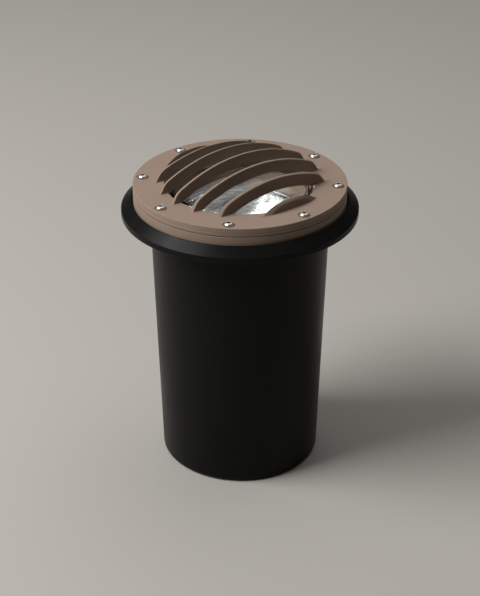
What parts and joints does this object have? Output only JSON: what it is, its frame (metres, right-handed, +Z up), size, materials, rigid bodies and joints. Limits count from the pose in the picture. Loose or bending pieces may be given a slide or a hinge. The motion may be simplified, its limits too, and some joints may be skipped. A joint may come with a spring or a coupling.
{
  "type": "in-ground well light",
  "caption": "Round in-ground well light: tapered black ground sleeve, and a sealed lamp head with a domed bronze fin grille whose lamp tilts and turns inside.",
  "frame": {"origin": "centre of the ground sleeve's standing face", "axes": "+Z up along the sleeve's axis; the lamp tilts about X at rest, and the terminal block lies towards +X"},
  "size_m": [0.2038, 0.2038, 0.2866],
  "materials": {
    "black_moulding": "satin",
    "bronze_coated_casting": "matte",
    "gasket_rubber": "matte",
    "clear_lens": "gloss",
    "stainless": "satin",
    "black_nylon": "satin",
    "white_nylon": "satin",
    "plated_steel": "satin",
    "porcelain": "matte",
    "brass": "satin",
    "aluminised_glass": "polished",
    "lamp_glass": "gloss",
    "black_insulation": "satin",
    "white_insulation": "satin"
  },
  "bodies": {
    "sleeve": {"ground_sleeve": "black_moulding"},
    "head": {"lamp_housing": "bronze_coated_casting", "body_gasket": "gasket_rubber", "lens_gasket": "gasket_rubber", "lens_glass": "clear_lens", "grille_cover": "bronze_coated_casting", "cover_screws": "stainless", "gland_body": "black_nylon", "gland_seal": "gasket_rubber", "gland_nut": "black_nylon", "gland_o_ring": "gasket_rubber", "gland_locknut": "black_nylon", "yoke_friction_washer": "white_nylon", "yoke_spring_washer": "stainless", "yoke_pivot_screw": "stainless"},
    "yoke": {"lamp_yoke": "plated_steel", "tilt_screws": "stainless", "tilt_washers": "white_nylon", "terminal_block": "porcelain", "block_clamp_screws": "brass", "block_fixing_screw": "stainless"},
    "lamp": {"lamp_ring": "plated_steel", "lamp_spring_ring": "stainless", "lamp_reflector": "aluminised_glass", "lamp_front_glass": "lamp_glass", "lamp_burner": "lamp_glass", "burner_shield": "stainless", "lamp_terminal_posts": "brass", "lamp_terminal_screws": "brass", "lead_fork_terminals": "plated_steel", "lead_black": "black_insulation", "lead_white": "white_insulation"}
  },
  "joints": [
    {"name": "head_lift", "type": "slide", "parent": "sleeve", "child": "head", "axis": [0, 0, 1], "range_m": [0, 0.15]},
    {"name": "yoke_turn", "type": "hinge", "parent": "head", "child": "yoke", "pos_m": [0, 0, 0.1393], "axis": [0, 0, 1], "range_deg": [-160, 160]},
    {"name": "lamp_tilt", "type": "hinge", "parent": "yoke", "child": "lamp", "pos_m": [0, 0, 0.22298], "axis": [1, 0, 0], "range_deg": [-15, 15], "deforming": ["lead_black", "lead_white"]}
  ]
}
